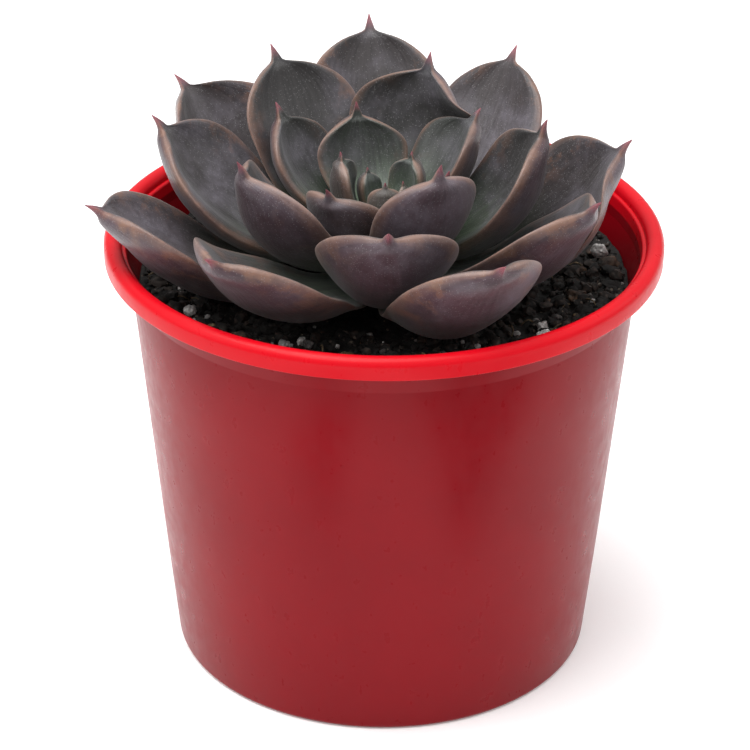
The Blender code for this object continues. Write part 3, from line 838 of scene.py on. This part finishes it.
@dataclass(frozen=True)
class Rosette:
    """All the leaves, pressed down where the younger ones lie on them."""

    rule: Growth = Growth()
    dropped: tuple[int, ...] = (9,)
    press_gap: float = 0.35 * MM
    press_reach: float = 5.0 * MM
    soften_passes: int = 3

    def build(self, material: bpy.types.Material) -> None:
        """Build every leaf from the innermost to the lowest.

        Args:
            material: The leaf skin.
        """
        growing = [number for number in range(self.rule.innermost + 1) if number not in self.dropped]
        trees: list[BVHTree] = []
        for number in reversed(growing):
            leaf = Leaf(number, self.rule)
            rows = leaf.columns()
            self.press(rows, trees)
            node = f"leaf_{growing.index(number) + 1:02d}"
            mesh = self.skin(f"{node}_blade", leaf, rows)
            trees.append(BVHTree.FromPolygons([v.co for v in mesh.vertices], [p.vertices for p in mesh.polygons]))
            piece = mesh_piece(f"{node}_blade", mesh, material, (node,))
            smooth = piece.modifiers.new("soft_skin", "SUBSURF")
            smooth.levels = 1
            smooth.render_levels = 1

    def press(self, rows: list[list[Column]], trees: list[BVHTree]) -> None:
        """Press a leaf down, softly, where the leaves above lie on it.

        Args:
            rows: The leaf's columns, changed in place.
            trees: The leaves above.
        """
        need = np.array([[self.sinking(column, trees) for column in row] for row in rows])
        push = widened(widened(need))
        for _ in range(self.soften_passes):
            push = np.maximum(averaged(push), need)
        for row, line in zip(rows, averaged(push)):
            for column, sink in zip(row, line):
                thickness = 0.5 * (column.top - column.bottom)
                column.top -= sink
                column.bottom = min(column.bottom, column.top - thickness)

    def sinking(self, column: Column, trees: list[BVHTree]) -> float:
        """How far a column has to sink to clear the leaves above.

        Args:
            column: The column.
            trees: The leaves above.

        Returns:
            The distance along the column's up.
        """
        low = column.bottom - self.press_reach
        start = column.foot + column.up * low
        sink = 0.0
        for tree in trees:
            hit = tree.ray_cast(start, column.up, column.top - low + self.press_gap)
            if hit[0] is None:
                continue
            underside = low + hit[3]
            if hit[1].dot(column.up) > 0.0:
                below = tree.ray_cast(start, -column.up)
                if below[0] is None:
                    continue
                underside = low - below[3]
            sink = max(sink, column.top - underside + self.press_gap)
        return sink

    def skin(self, name: str, leaf: Leaf, rows: list[list[Column]]) -> bpy.types.Mesh:
        """Close the columns into a skin that knows where each point lies on the leaf.

        Args:
            name: The mesh's name.
            leaf: The leaf.
            rows: Its columns.

        Returns:
            The mesh, with along, across, face, age and tint kept on its points.
        """
        points: list[Vector] = []
        along: list[float] = []
        across: list[float] = []
        face: list[float] = []
        for row, u in zip(rows, leaf.places()):
            over = [(c.foot + c.up * c.top, c.across, 1.0 - c.across ** 8) for c in row]
            below = [(c.foot + c.up * c.bottom, c.across, c.across ** 8 - 1.0) for c in row[-2:0:-1]]
            for place, sideways, facing in over + below:
                points.append(place)
                along.append(u)
                across.append(sideways)
                face.append(facing)
        ring = 2 * len(rows[0]) - 2
        faces = [(i * ring + j, (i + 1) * ring + j, (i + 1) * ring + (j + 1) % ring, i * ring + (j + 1) % ring)
                 for i in range(len(rows) - 1) for j in range(ring)]
        faces.append(tuple(range(ring)))
        last = (len(rows) - 1) * ring
        faces.append(tuple(last + j for j in reversed(range(ring))))
        mesh = closed_mesh(name, points, faces)
        count = len(points)
        tint = random.Random(leaf.number).random()
        keep_numbers(mesh, along=along, across=across, face=face, tint=[tint] * count,
                     age=[leaf.number / self.rule.innermost] * count)
        return mesh


def widened(field: np.ndarray) -> np.ndarray:
    """Each value raised to the highest of its neighbours."""
    padded = np.pad(field, 1, mode="edge")
    rows, columns = field.shape
    return np.max([padded[i:i + rows, j:j + columns] for i in range(3) for j in range(3)], axis=0)


def averaged(field: np.ndarray) -> np.ndarray:
    """Each value averaged with its neighbours."""
    padded = np.pad(field, 1, mode="edge")
    rows, columns = field.shape
    return np.mean([padded[i:i + rows, j:j + columns] for i in range(3) for j in range(3)], axis=0)


# ---------------------------------------------------------------- soil


@dataclass(frozen=True)
class GrainKind:
    """One kind of loose grain: how many, how big, how flat and how jagged."""

    name: str
    count: int
    smallest: float
    largest: float
    flat: float
    jagged: float
    slot: Slot
    seed: int


@dataclass(frozen=True)
class Placed:
    """A grain set down at a given place: direction in degrees, distance and size."""

    direction: float
    distance: float
    size: float
    flat: float = 0.8


WHITE_GRAINS = (
    Placed(326, 40.1 * MM, 1.7 * MM), Placed(317, 38.0 * MM, 0.9 * MM), Placed(301, 37.6 * MM, 1.1 * MM),
    Placed(263, 24.0 * MM, 0.8 * MM), Placed(240, 34.3 * MM, 1.3 * MM), Placed(235, 36.2 * MM, 1.6 * MM),
    Placed(232, 38.0 * MM, 1.0 * MM), Placed(189, 43.9 * MM, 0.9 * MM), Placed(252, 31.8 * MM, 0.8 * MM),
    Placed(200, 43.0 * MM, 0.8 * MM), Placed(208, 42.0 * MM, 0.8 * MM), Placed(345, 46.0 * MM, 0.7 * MM))
GREY_GRAINS = (
    Placed(333, 40.7 * MM, 1.3 * MM), Placed(178, 50.4 * MM, 1.6 * MM), Placed(194, 46.8 * MM, 1.6 * MM),
    Placed(244, 35.5 * MM, 1.5 * MM), Placed(270, 33.0 * MM, 1.0 * MM), Placed(290, 36.5 * MM, 1.1 * MM))
TAN_GRAINS = (
    Placed(257, 35.2 * MM, 1.8 * MM, 0.5), Placed(337, 44.0 * MM, 0.9 * MM), Placed(213, 43.0 * MM, 1.1 * MM, 0.5))
BARK_CHUNKS = (
    Placed(5, 49.0 * MM, 2.7 * MM, 0.6), Placed(15, 47.4 * MM, 1.8 * MM, 0.5), Placed(4, 42.6 * MM, 1.6 * MM, 0.6),
    Placed(348, 42.0 * MM, 2.4 * MM, 0.6), Placed(281, 37.0 * MM, 1.8 * MM, 0.5), Placed(222, 41.0 * MM, 2.1 * MM, 0.5),
    Placed(186, 48.5 * MM, 2.2 * MM, 0.5), Placed(310, 41.5 * MM, 2.0 * MM, 0.5))


@dataclass(frozen=True)
class Soil:
    """The potting mix: a crumbly bed with loose grains lying on it."""

    pot: Pot = Pot()
    edge_height: float = 87.0 * MM
    dish: float = 3.0 * MM
    lump: float = 0.9 * MM
    clearance: float = 0.35 * MM
    rings: int = 70
    steps: int = 260
    grain_ring: tuple[float, float] = (24.0 * MM, 52.2 * MM)

    def radius(self, z: float) -> float:
        """Outer radius of the soil at height z."""
        return self.pot.wall_radius(z) - self.pot.wall - self.clearance

    def height(self, x: float, y: float) -> float:
        """Height of the loose surface at x, y."""
        share = min(math.hypot(x, y) / self.radius(self.edge_height), 1.0)
        rise = self.edge_height - self.dish * (1.0 - share ** 2)
        lumps = math.sin(410 * x + 1.3) * math.cos(370 * y - 0.4) + 0.6 * math.sin(760 * x - 520 * y)
        clods = noise.fractal(Vector((x, y, 0.0)) * 260.0, 0.7, 2.1, 5)
        return rise + 0.35 * MM * lumps + self.lump * clods

    def build_bed(self, material: bpy.types.Material) -> bpy.types.Object:
        """Build the bed down to the pot's floor.

        Args:
            material: The potting mix.

        Returns:
            The bed, which stands for the packed soil.
        """
        points: list[Vector] = [Vector((0.0, 0.0, self.height(0.0, 0.0)))]
        outer = self.radius(self.edge_height)
        for ring in range(1, self.rings + 1):
            for k in range(self.steps):
                angle = math.tau * k / self.steps
                radius = outer * (ring / self.rings) ** 0.8
                x, y = radius * math.cos(angle), radius * math.sin(angle)
                points.append(Vector((x, y, self.height(x, y))))
        floor = self.pot.floor + self.clearance
        for level in (60 * MM, 30 * MM, floor):
            for k in range(self.steps):
                angle = math.tau * k / self.steps
                points.append(Vector((self.radius(level) * math.cos(angle), self.radius(level) * math.sin(angle), level)))
        faces = [(0, 1 + k, 1 + (k + 1) % self.steps) for k in range(self.steps)]
        for ring in range(self.rings + 2):
            for k in range(self.steps):
                a = 1 + ring * self.steps + k
                b = 1 + ring * self.steps + (k + 1) % self.steps
                faces.append((a, a + self.steps, b + self.steps, b))
        last = 1 + (self.rings + 2) * self.steps
        faces.append(tuple(last + k for k in range(self.steps)))
        mesh = closed_mesh("soil_bed", points, faces)
        keep_numbers(mesh, tint=[0.3] * len(points))
        return mesh_piece("soil_bed", mesh, material, ("soil",))

    def scatter(self, kind: GrainKind, material: bpy.types.Material) -> bpy.types.Object:
        """Scatter grains of one kind over the open ring of soil.

        Args:
            kind: The grains.
            material: Their finish.

        Returns:
            One piece that holds them all.
        """
        rng = random.Random(kind.seed)
        pile = GrainPile()
        near, far = self.grain_ring
        for _ in range(kind.count):
            angle = rng.uniform(0.0, math.tau)
            radius = math.sqrt(rng.uniform(near ** 2, far ** 2))
            size = kind.smallest + (kind.largest - kind.smallest) * rng.random() ** 2.2
            radius = min(radius, self.radius(self.edge_height) - size - self.clearance)
            x, y = radius * math.cos(angle), radius * math.sin(angle)
            centre = Vector((x, y, self.height(x, y) + 0.35 * size * kind.flat))
            pile.add(centre, size, kind.flat, kind.jagged, rng)
        return mesh_piece(kind.name, pile.mesh(kind.name), material)

    def set_down(self, name: str, grains: tuple[Placed, ...], material: bpy.types.Material,
                 seed: int) -> bpy.types.Object:
        """Set grains down on the soil, half sunk in it.

        Args:
            name: The piece's name.
            grains: Where they lie and how big they are.
            material: Their finish.
            seed: The source of their shapes.

        Returns:
            One piece that holds them all.
        """
        rng = random.Random(seed)
        pile = GrainPile(fine=3)
        for grain in grains:
            angle = math.radians(grain.direction)
            x, y = grain.distance * math.cos(angle), grain.distance * math.sin(angle)
            rise = self.height(x, y) + 0.6 * grain.size * grain.flat
            pile.add(Vector((x, y, rise)), grain.size, grain.flat, 0.45, rng)
        return mesh_piece(name, pile.mesh(name), material)

    def regrow_grain(self, node: str, flat: float, material: bpy.types.Material,
                     seed: int) -> bpy.types.Object:
        """Replace a packed grain by a finer one in the same box.

        Args:
            node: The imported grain.
            flat: Its height against its width.
            material: Its finish.
            seed: What makes it different from the others.

        Returns:
            The new grain.
        """
        low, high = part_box(node)
        pile = GrainPile(fine=4)
        pile.add((low + high) / 2, (high.x - low.x) / 2, flat, 0.32, random.Random(seed))
        return mesh_piece(f"{node}_grain", pile.mesh(f"{node}_grain"), material, (node,))

    def fibres(self, count: int, material: bpy.types.Material) -> bpy.types.Object:
        """Thin straw fibres that lie in the soil.

        Args:
            count: How many.
            material: Their finish.

        Returns:
            One piece that holds them all.
        """
        rng = random.Random(77)
        curve = bpy.data.curves.new("soil_fibres", "CURVE")
        curve.dimensions = "3D"
        curve.bevel_depth = 0.16 * MM
        curve.bevel_resolution = 1
        curve.use_fill_caps = True
        for _ in range(count):
            angle = rng.uniform(0.0, math.tau)
            radius = rng.uniform(34 * MM, 50 * MM)
            heading = rng.uniform(0.0, math.tau)
            length = rng.uniform(2.0, 6.5) * MM
            spline = curve.splines.new("POLY")
            spline.points.add(5)
            for i, point in enumerate(spline.points):
                reach = length * (i / 5 - 0.5)
                bend = heading + 0.25 * math.sin(3.0 * i / 5 + angle)
                x = radius * math.cos(angle) + reach * math.cos(bend)
                y = radius * math.sin(angle) + reach * math.sin(bend)
                lift = 0.5 * MM + 0.5 * MM * math.sin(math.pi * i / 5)
                point.co = (x, y, self.height(x, y) + lift, 1.0)
                point.radius = rng.uniform(0.7, 1.2)
        source = bpy.data.objects.new("soil_fibres_curve", curve)
        bpy.context.scene.collection.objects.link(source)
        bpy.context.view_layer.update()
        shape = source.evaluated_get(bpy.context.evaluated_depsgraph_get())
        mesh = bpy.data.meshes.new_from_object(shape)
        mesh.materials.clear()
        bpy.data.objects.remove(source)
        keep_numbers(mesh, tint=[0.5] * len(mesh.vertices))
        return mesh_piece("soil_fibres", mesh, material)


class GrainPile:
    """Irregular grains gathered into one mesh."""

    def __init__(self, fine: int = 2) -> None:
        """Start an empty pile of grains that are each divided that finely."""
        work = bmesh.new()
        bmesh.ops.create_icosphere(work, subdivisions=fine, radius=1.0)
        self.ball = [vertex.co.copy() for vertex in work.verts]
        self.ball_faces = [tuple(vertex.index for vertex in face.verts) for face in work.faces]
        work.free()
        self.points: list[Vector] = []
        self.faces: list[tuple[int, ...]] = []
        self.tints: list[float] = []

    def add(self, centre: Vector, size: float, flat: float, jagged: float, rng: random.Random) -> None:
        """Add one grain.

        Args:
            centre: Where it lies.
            size: Its half width.
            flat: Its height against its width.
            jagged: How uneven it is.
            rng: The source of its shape.
        """
        first = len(self.points)
        offset = Vector((rng.uniform(-50, 50), rng.uniform(-50, 50), rng.uniform(-50, 50)))
        narrow = rng.uniform(0.65, 1.0)
        spin = Matrix.Rotation(rng.uniform(0.0, math.tau), 3, "Z")
        reach = size / (1.0 + 0.5 * jagged)
        for spot in self.ball:
            bumps = noise.noise(spot * 1.3 + offset) + 0.5 * noise.noise(spot * 3.7 + offset)
            swollen = spot * min(1.0 + jagged * bumps, 1.0 + jagged)
            self.points.append(centre + spin @ Vector((swollen.x, swollen.y * narrow, swollen.z * flat)) * reach)
        self.faces += [tuple(first + i for i in face) for face in self.ball_faces]
        self.tints += [rng.random()] * len(self.ball)

    def mesh(self, name: str) -> bpy.types.Mesh:
        """Return all the grains as one mesh that knows each grain's tint."""
        mesh = bpy.data.meshes.new(name)
        mesh.from_pydata([tuple(p) for p in self.points], [], self.faces)
        mesh.shade_smooth()
        mesh.set_sharp_from_angle(angle=math.radians(50))
        keep_numbers(mesh, tint=self.tints)
        return mesh


# ---------------------------------------------------------------- studio


@dataclass(frozen=True)
class Studio:
    """Camera, plain floor and soft light."""

    lens: float = 150.0
    distance: float = 686.3 * MM
    elevation: float = 28.56
    roll: float = 0.36
    target: Point = (-1.75 * MM, 0.0, 62.28 * MM)
    floor_size: float = 6.0
    floor_colour: Colour = (0.95, 0.95, 0.95)
    zenith_strength: float = 1.15
    horizon_strength: float = 0.34

    def build(self) -> None:
        """Set up everything that isn't the object."""
        scene = bpy.context.scene
        scene.view_settings.view_transform = "Standard"
        self.add_camera(scene)
        self.add_floor()
        self.add_world(scene)
        self.add_flag("card_left", (-0.085, -0.035, -0.24, -0.105))
        self.add_flag("card_right", (0.05, 0.2, -0.34, -0.085))
        self.add_softbox("softbox_top", (-0.25, -0.1, 1.2), 0.9, 14.0)
        self.add_softbox("softbox_left", (-1.1, -0.25, 0.75), 0.8, 2.5)
        self.add_softbox("softbox_right", (1.1, 0.35, 0.7), 0.7, 1.5)

    def add_camera(self, scene: bpy.types.Scene) -> None:
        """Add the camera, rolled a little about its view."""
        lift = math.radians(self.elevation)
        turn = math.radians(self.roll)
        right = Vector((1, 0, 0))
        up = Vector((0, math.sin(lift), math.cos(lift)))
        back = Vector((0, -math.cos(lift), math.sin(lift)))
        rolled_right = right * math.cos(turn) + up * math.sin(turn)
        rolled_up = up * math.cos(turn) - right * math.sin(turn)
        data = bpy.data.cameras.new("camera")
        data.lens = self.lens
        data.clip_start = 0.05
        data.clip_end = 20.0
        camera = bpy.data.objects.new("camera", data)
        scene.collection.objects.link(camera)
        spot = Vector(self.target) + back * self.distance
        rows = [[rolled_right[i], rolled_up[i], back[i], spot[i]] for i in range(3)]
        camera.matrix_world = Matrix([*rows, [0.0, 0.0, 0.0, 1.0]])
        scene.camera = camera

    def add_floor(self) -> None:
        """Add the plain pale floor."""
        work = bmesh.new()
        bmesh.ops.create_grid(work, x_segments=8, y_segments=8, size=self.floor_size / 2)
        mesh = bpy.data.meshes.new("floor")
        work.to_mesh(mesh)
        work.free()
        floor = bpy.data.objects.new("floor", mesh)
        bpy.context.scene.collection.objects.link(floor)
        material = bpy.data.materials.new("plain_floor")
        material.use_nodes = True
        shader = material.node_tree.nodes["Principled BSDF"]
        shader.inputs["Base Color"].default_value = (*self.floor_colour, 1.0)
        shader.inputs["Roughness"].default_value = 0.8
        shader.inputs["Emission Color"].default_value = (1.0, 1.0, 1.0, 1.0)
        shader.inputs["Emission Strength"].default_value = 0.12
        shader.inputs["Specular IOR Level"].default_value = 0.2
        mesh.materials.append(material)

    def add_world(self, scene: bpy.types.Scene) -> None:
        """Add white surroundings, brighter overhead than at the horizon."""
        world = bpy.data.worlds.new("white_room")
        world.use_nodes = True
        graph = Graph(world.node_tree)
        heading = graph.add("ShaderNodeSeparateXYZ")
        graph.feed(heading.inputs[0], graph.add("ShaderNodeTexCoord").outputs["Generated"])
        strength = graph.ramp(heading.outputs["Z"], 0.0, 0.9, self.horizon_strength, self.zenith_strength)
        background = world.node_tree.nodes["Background"]
        background.inputs["Color"].default_value = (1.0, 1.0, 1.0, 1.0)
        graph.feed(background.inputs["Strength"], strength)
        scene.world = world

    def add_flag(self, name: str, corners: tuple[float, float, float, float]) -> None:
        """Add a dark card on the floor that only shows as a soft band in the plastic.

        Args:
            name: The card's name.
            corners: Lowest and highest x, then lowest and highest y.
        """
        x0, x1, y0, y1 = corners
        mesh = bpy.data.meshes.new(name)
        height = 2.0 * MM
        mesh.from_pydata([(x0, y0, height), (x1, y0, height), (x1, y1, height), (x0, y1, height)], [], [(0, 1, 2, 3)])
        card = bpy.data.objects.new(name, mesh)
        bpy.context.scene.collection.objects.link(card)
        material = bpy.data.materials.new("dark_card")
        material.use_nodes = True
        material.node_tree.nodes["Principled BSDF"].inputs["Base Color"].default_value = (0.01, 0.01, 0.01, 1.0)
        mesh.materials.append(material)
        card.visible_camera = False
        card.visible_diffuse = False
        card.visible_shadow = False
        card.visible_transmission = False

    def add_softbox(self, name: str, place: Point, size: float, power: float) -> None:
        """Add one large soft lamp that faces the object."""
        data = bpy.data.lights.new(name, "AREA")
        data.shape = "SQUARE"
        data.size = size
        data.energy = power
        lamp = bpy.data.objects.new(name, data)
        bpy.context.scene.collection.objects.link(lamp)
        lamp.location = place
        facing = Vector((0.0, 0.0, 0.08)) - Vector(place)
        lamp.rotation_euler = facing.to_track_quat("-Z", "Y").to_euler()


# ---------------------------------------------------------------- whole object


def dress_stem(effects: Effects) -> None:
    """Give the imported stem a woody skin."""
    skin = Mineral("stem_skin", dark=(0.05, 0.035, 0.02), light=(0.16, 0.13, 0.07), dust=(0.2, 0.17, 0.1),
                   scale=500.0, roughness=0.75)
    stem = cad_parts["stem_with_roots"]
    stem.data.materials.clear()
    stem.data.materials.append(skin.material(effects))
    LOG.info("dressed the stem and its roots")


def main() -> None:
    """Build the studio and every piece in order."""
    logging.basicConfig(level=logging.INFO, format="%(name)s: %(message)s")
    Studio().build()
    effects = Effects()
    Pot().build(GlossPlastic("red_plastic", specular=0.15).material(effects))

    soil = Soil()
    peat = Mineral("potting_mix").material(effects)
    white = Mineral("perlite_white", dark=(0.32, 0.31, 0.3), light=(0.78, 0.77, 0.74), dust=(0.2, 0.17, 0.14),
                    dusting=0.12, scale=1500.0, relief=0.15 * MM).material(effects)
    brown = Mineral("bark_brown", dark=(0.02, 0.012, 0.008), light=(0.11, 0.06, 0.032), scale=700.0).material(effects)
    stone = Mineral("grey_grit", dark=(0.05, 0.047, 0.045), light=(0.24, 0.22, 0.21), scale=1300.0,
                    relief=0.15 * MM, roughness=0.7).material(effects)
    straw = Mineral("straw", dark=(0.1, 0.07, 0.035), light=(0.34, 0.25, 0.14), scale=900.0).material(effects)
    soil.build_bed(peat)
    soil.scatter(GrainKind("soil_crumbs", 2400, 0.4 * MM, 2.3 * MM, 0.75, 0.7, Slot.POTTING_SOIL, 3), peat)
    soil.scatter(GrainKind("grey_grit", 170, 0.3 * MM, 1.0 * MM, 0.8, 0.4, Slot.PERLITE, 5), stone)
    soil.scatter(GrainKind("fine_perlite", 90, 0.3 * MM, 1.0 * MM, 0.85, 0.4, Slot.PERLITE, 8), white)
    soil.scatter(GrainKind("bark_bits", 130, 0.5 * MM, 1.9 * MM, 0.4, 0.5, Slot.BARK, 13), brown)
    soil.set_down("white_grains", WHITE_GRAINS, white, 21)
    soil.set_down("grey_grains", GREY_GRAINS, stone, 22)
    soil.set_down("tan_grains", TAN_GRAINS, straw, 23)
    soil.set_down("bark_chunks", BARK_CHUNKS, brown, 24)
    soil.fibres(60, straw)
    for k in range(5):
        soil.regrow_grain(f"perlite_{k + 1}", 0.85, white, 40 + k)
    for k in range(2):
        soil.regrow_grain(f"bark_chip_{k + 1}", 0.5, brown, 60 + k)

    dress_stem(effects)
    Rosette().build(LeafSkin("leaf_skin", specular=0.4).material(effects))


if __name__ == "__main__":
    main()
